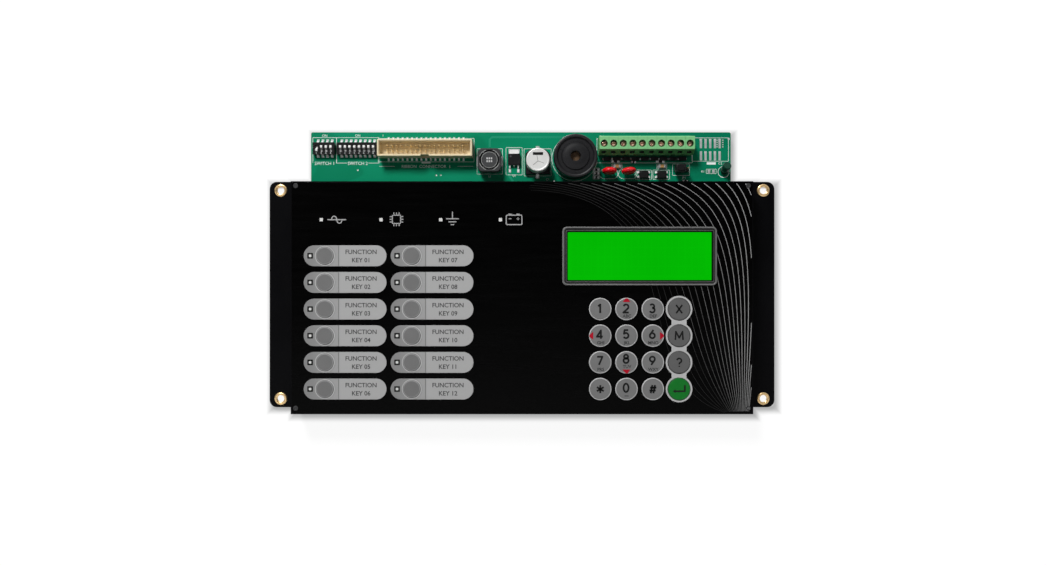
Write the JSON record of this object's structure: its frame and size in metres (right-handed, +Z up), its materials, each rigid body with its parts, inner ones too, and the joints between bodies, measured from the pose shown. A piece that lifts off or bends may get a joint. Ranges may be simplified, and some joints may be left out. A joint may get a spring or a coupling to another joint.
{
  "type": "fire alarm control panel display unit",
  "caption": "Front unit of a fire alarm control panel: black folded-steel plate with ears, character display, lamps and push keys, and a circuit board that stands clear of the plate's top edge.",
  "frame": {"origin": "centre of the unit's overall box", "axes": "+X to the right and +Z up for a person facing the keys; the face looks towards -Y and the ears' backs lie on the plane y = +9.5 mm"},
  "size_m": [0.276, 0.019, 0.1512],
  "materials": {
    "chassis_steel": "satin black powder coat",
    "overlay_print": "satin printed polyester film",
    "bezel_plastic": "fine textured moulding",
    "display_green": "lit display behind clear glass",
    "module_steel": "tin-plated sheet",
    "board": "green solder mask on glass fibre",
    "screw_steel": "zinc plated",
    "black_plastic": "moulded",
    "terminal_green": "moulded",
    "header_beige": "moulded",
    "ferrite": "matt",
    "aluminium_can": "drawn can",
    "red_epoxy": "glossy dipped coating",
    "slider_white": "moulded",
    "key_dark_grey": "satin",
    "key_grey": "satin",
    "key_green": "satin"
  },
  "bodies": {
    "unit": {"chassis": "chassis_steel", "graphic_overlay": "overlay_print", "display_bezel": "bezel_plastic", "display_glass": "display_green", "display_module": "module_steel", "main_board": "board", "board_screw_1": "screw_steel", "board_screw_2": "screw_steel", "board_screw_3": "screw_steel", "board_screw_4": "screw_steel", "address_switch_body": "black_plastic", "config_switch_body": "black_plastic", "terminal_block": "terminal_green", "ribbon_header": "header_beige", "power_inductor": "ferrite", "voltage_regulator": "black_plastic", "smoothing_capacitor": "aluminium_can", "sounder": "black_plastic", "surge_disc_1": "red_epoxy", "surge_disc_2": "red_epoxy"},
    "function_key_a1": {"function_key_a1": "key_dark_grey"},
    "function_key_a2": {"function_key_a2": "key_dark_grey"},
    "function_key_a3": {"function_key_a3": "key_dark_grey"},
    "function_key_a4": {"function_key_a4": "key_dark_grey"},
    "function_key_a5": {"function_key_a5": "key_dark_grey"},
    "function_key_a6": {"function_key_a6": "key_dark_grey"},
    "function_key_b1": {"function_key_b1": "key_dark_grey"},
    "function_key_b2": {"function_key_b2": "key_dark_grey"},
    "function_key_b3": {"function_key_b3": "key_dark_grey"},
    "function_key_b4": {"function_key_b4": "key_dark_grey"},
    "function_key_b5": {"function_key_b5": "key_dark_grey"},
    "function_key_b6": {"function_key_b6": "key_dark_grey"},
    "key_1": {"key_1": "key_grey"},
    "key_2": {"key_2": "key_grey"},
    "key_3": {"key_3": "key_grey"},
    "key_cancel": {"key_cancel": "key_dark_grey"},
    "key_4": {"key_4": "key_grey"},
    "key_5": {"key_5": "key_grey"},
    "key_6": {"key_6": "key_grey"},
    "key_menu": {"key_menu": "key_dark_grey"},
    "key_7": {"key_7": "key_grey"},
    "key_8": {"key_8": "key_grey"},
    "key_9": {"key_9": "key_grey"},
    "key_help": {"key_help": "key_dark_grey"},
    "key_star": {"key_star": "key_grey"},
    "key_0": {"key_0": "key_grey"},
    "key_hash": {"key_hash": "key_grey"},
    "key_enter": {"key_enter": "key_green"},
    "address_slider_1": {"address_slider_1": "slider_white"},
    "address_slider_2": {"address_slider_2": "slider_white"},
    "address_slider_3": {"address_slider_3": "slider_white"},
    "address_slider_4": {"address_slider_4": "slider_white"},
    "config_slider_1": {"config_slider_1": "slider_white"},
    "config_slider_2": {"config_slider_2": "slider_white"},
    "config_slider_3": {"config_slider_3": "slider_white"},
    "config_slider_4": {"config_slider_4": "slider_white"},
    "config_slider_5": {"config_slider_5": "slider_white"},
    "config_slider_6": {"config_slider_6": "slider_white"},
    "config_slider_7": {"config_slider_7": "slider_white"},
    "config_slider_8": {"config_slider_8": "slider_white"}
  },
  "joints": [
    {"name": "function_key_a1_press", "type": "slide", "parent": "unit", "child": "function_key_a1", "axis": [0, 1, 0], "range_m": [0, 0.0005], "stiffness_N_per_m": 5},
    {"name": "function_key_a2_press", "type": "slide", "parent": "unit", "child": "function_key_a2", "axis": [0, 1, 0], "range_m": [0, 0.0005], "stiffness_N_per_m": 5},
    {"name": "function_key_a3_press", "type": "slide", "parent": "unit", "child": "function_key_a3", "axis": [0, 1, 0], "range_m": [0, 0.0005], "stiffness_N_per_m": 5},
    {"name": "function_key_a4_press", "type": "slide", "parent": "unit", "child": "function_key_a4", "axis": [0, 1, 0], "range_m": [0, 0.0005], "stiffness_N_per_m": 5},
    {"name": "function_key_a5_press", "type": "slide", "parent": "unit", "child": "function_key_a5", "axis": [0, 1, 0], "range_m": [0, 0.0005], "stiffness_N_per_m": 5},
    {"name": "function_key_a6_press", "type": "slide", "parent": "unit", "child": "function_key_a6", "axis": [0, 1, 0], "range_m": [0, 0.0005], "stiffness_N_per_m": 5},
    {"name": "function_key_b1_press", "type": "slide", "parent": "unit", "child": "function_key_b1", "axis": [0, 1, 0], "range_m": [0, 0.0005], "stiffness_N_per_m": 5},
    {"name": "function_key_b2_press", "type": "slide", "parent": "unit", "child": "function_key_b2", "axis": [0, 1, 0], "range_m": [0, 0.0005], "stiffness_N_per_m": 5},
    {"name": "function_key_b3_press", "type": "slide", "parent": "unit", "child": "function_key_b3", "axis": [0, 1, 0], "range_m": [0, 0.0005], "stiffness_N_per_m": 5},
    {"name": "function_key_b4_press", "type": "slide", "parent": "unit", "child": "function_key_b4", "axis": [0, 1, 0], "range_m": [0, 0.0005], "stiffness_N_per_m": 5},
    {"name": "function_key_b5_press", "type": "slide", "parent": "unit", "child": "function_key_b5", "axis": [0, 1, 0], "range_m": [0, 0.0005], "stiffness_N_per_m": 5},
    {"name": "function_key_b6_press", "type": "slide", "parent": "unit", "child": "function_key_b6", "axis": [0, 1, 0], "range_m": [0, 0.0005], "stiffness_N_per_m": 5},
    {"name": "key_1_press", "type": "slide", "parent": "unit", "child": "key_1", "axis": [0, 1, 0], "range_m": [0, 0.0005], "stiffness_N_per_m": 5},
    {"name": "key_2_press", "type": "slide", "parent": "unit", "child": "key_2", "axis": [0, 1, 0], "range_m": [0, 0.0005], "stiffness_N_per_m": 5},
    {"name": "key_3_press", "type": "slide", "parent": "unit", "child": "key_3", "axis": [0, 1, 0], "range_m": [0, 0.0005], "stiffness_N_per_m": 5},
    {"name": "key_cancel_press", "type": "slide", "parent": "unit", "child": "key_cancel", "axis": [0, 1, 0], "range_m": [0, 0.0005], "stiffness_N_per_m": 5},
    {"name": "key_4_press", "type": "slide", "parent": "unit", "child": "key_4", "axis": [0, 1, 0], "range_m": [0, 0.0005], "stiffness_N_per_m": 5},
    {"name": "key_5_press", "type": "slide", "parent": "unit", "child": "key_5", "axis": [0, 1, 0], "range_m": [0, 0.0005], "stiffness_N_per_m": 5},
    {"name": "key_6_press", "type": "slide", "parent": "unit", "child": "key_6", "axis": [0, 1, 0], "range_m": [0, 0.0005], "stiffness_N_per_m": 5},
    {"name": "key_menu_press", "type": "slide", "parent": "unit", "child": "key_menu", "axis": [0, 1, 0], "range_m": [0, 0.0005], "stiffness_N_per_m": 5},
    {"name": "key_7_press", "type": "slide", "parent": "unit", "child": "key_7", "axis": [0, 1, 0], "range_m": [0, 0.0005], "stiffness_N_per_m": 5},
    {"name": "key_8_press", "type": "slide", "parent": "unit", "child": "key_8", "axis": [0, 1, 0], "range_m": [0, 0.0005], "stiffness_N_per_m": 5},
    {"name": "key_9_press", "type": "slide", "parent": "unit", "child": "key_9", "axis": [0, 1, 0], "range_m": [0, 0.0005], "stiffness_N_per_m": 5},
    {"name": "key_help_press", "type": "slide", "parent": "unit", "child": "key_help", "axis": [0, 1, 0], "range_m": [0, 0.0005], "stiffness_N_per_m": 5},
    {"name": "key_star_press", "type": "slide", "parent": "unit", "child": "key_star", "axis": [0, 1, 0], "range_m": [0, 0.0005], "stiffness_N_per_m": 5},
    {"name": "key_0_press", "type": "slide", "parent": "unit", "child": "key_0", "axis": [0, 1, 0], "range_m": [0, 0.0005], "stiffness_N_per_m": 5},
    {"name": "key_hash_press", "type": "slide", "parent": "unit", "child": "key_hash", "axis": [0, 1, 0], "range_m": [0, 0.0005], "stiffness_N_per_m": 5},
    {"name": "key_enter_press", "type": "slide", "parent": "unit", "child": "key_enter", "axis": [0, 1, 0], "range_m": [0, 0.0005], "stiffness_N_per_m": 5},
    {"name": "address_slider_1_set", "type": "slide", "parent": "unit", "child": "address_slider_1", "axis": [0, 0, 1], "range_m": [0, 0.0017]},
    {"name": "address_slider_2_set", "type": "slide", "parent": "unit", "child": "address_slider_2", "axis": [0, 0, 1], "range_m": [-0.0017, 0]},
    {"name": "address_slider_3_set", "type": "slide", "parent": "unit", "child": "address_slider_3", "axis": [0, 0, 1], "range_m": [-0.0017, 0]},
    {"name": "address_slider_4_set", "type": "slide", "parent": "unit", "child": "address_slider_4", "axis": [0, 0, 1], "range_m": [-0.0017, 0]},
    {"name": "config_slider_1_set", "type": "slide", "parent": "unit", "child": "config_slider_1", "axis": [0, 0, 1], "range_m": [-0.0017, 0]},
    {"name": "config_slider_2_set", "type": "slide", "parent": "unit", "child": "config_slider_2", "axis": [0, 0, 1], "range_m": [-0.0017, 0]},
    {"name": "config_slider_3_set", "type": "slide", "parent": "unit", "child": "config_slider_3", "axis": [0, 0, 1], "range_m": [-0.0017, 0]},
    {"name": "config_slider_4_set", "type": "slide", "parent": "unit", "child": "config_slider_4", "axis": [0, 0, 1], "range_m": [-0.0017, 0]},
    {"name": "config_slider_5_set", "type": "slide", "parent": "unit", "child": "config_slider_5", "axis": [0, 0, 1], "range_m": [-0.0017, 0]},
    {"name": "config_slider_6_set", "type": "slide", "parent": "unit", "child": "config_slider_6", "axis": [0, 0, 1], "range_m": [-0.0017, 0]},
    {"name": "config_slider_7_set", "type": "slide", "parent": "unit", "child": "config_slider_7", "axis": [0, 0, 1], "range_m": [-0.0017, 0]},
    {"name": "config_slider_8_set", "type": "slide", "parent": "unit", "child": "config_slider_8", "axis": [0, 0, 1], "range_m": [-0.0017, 0]}
  ]
}
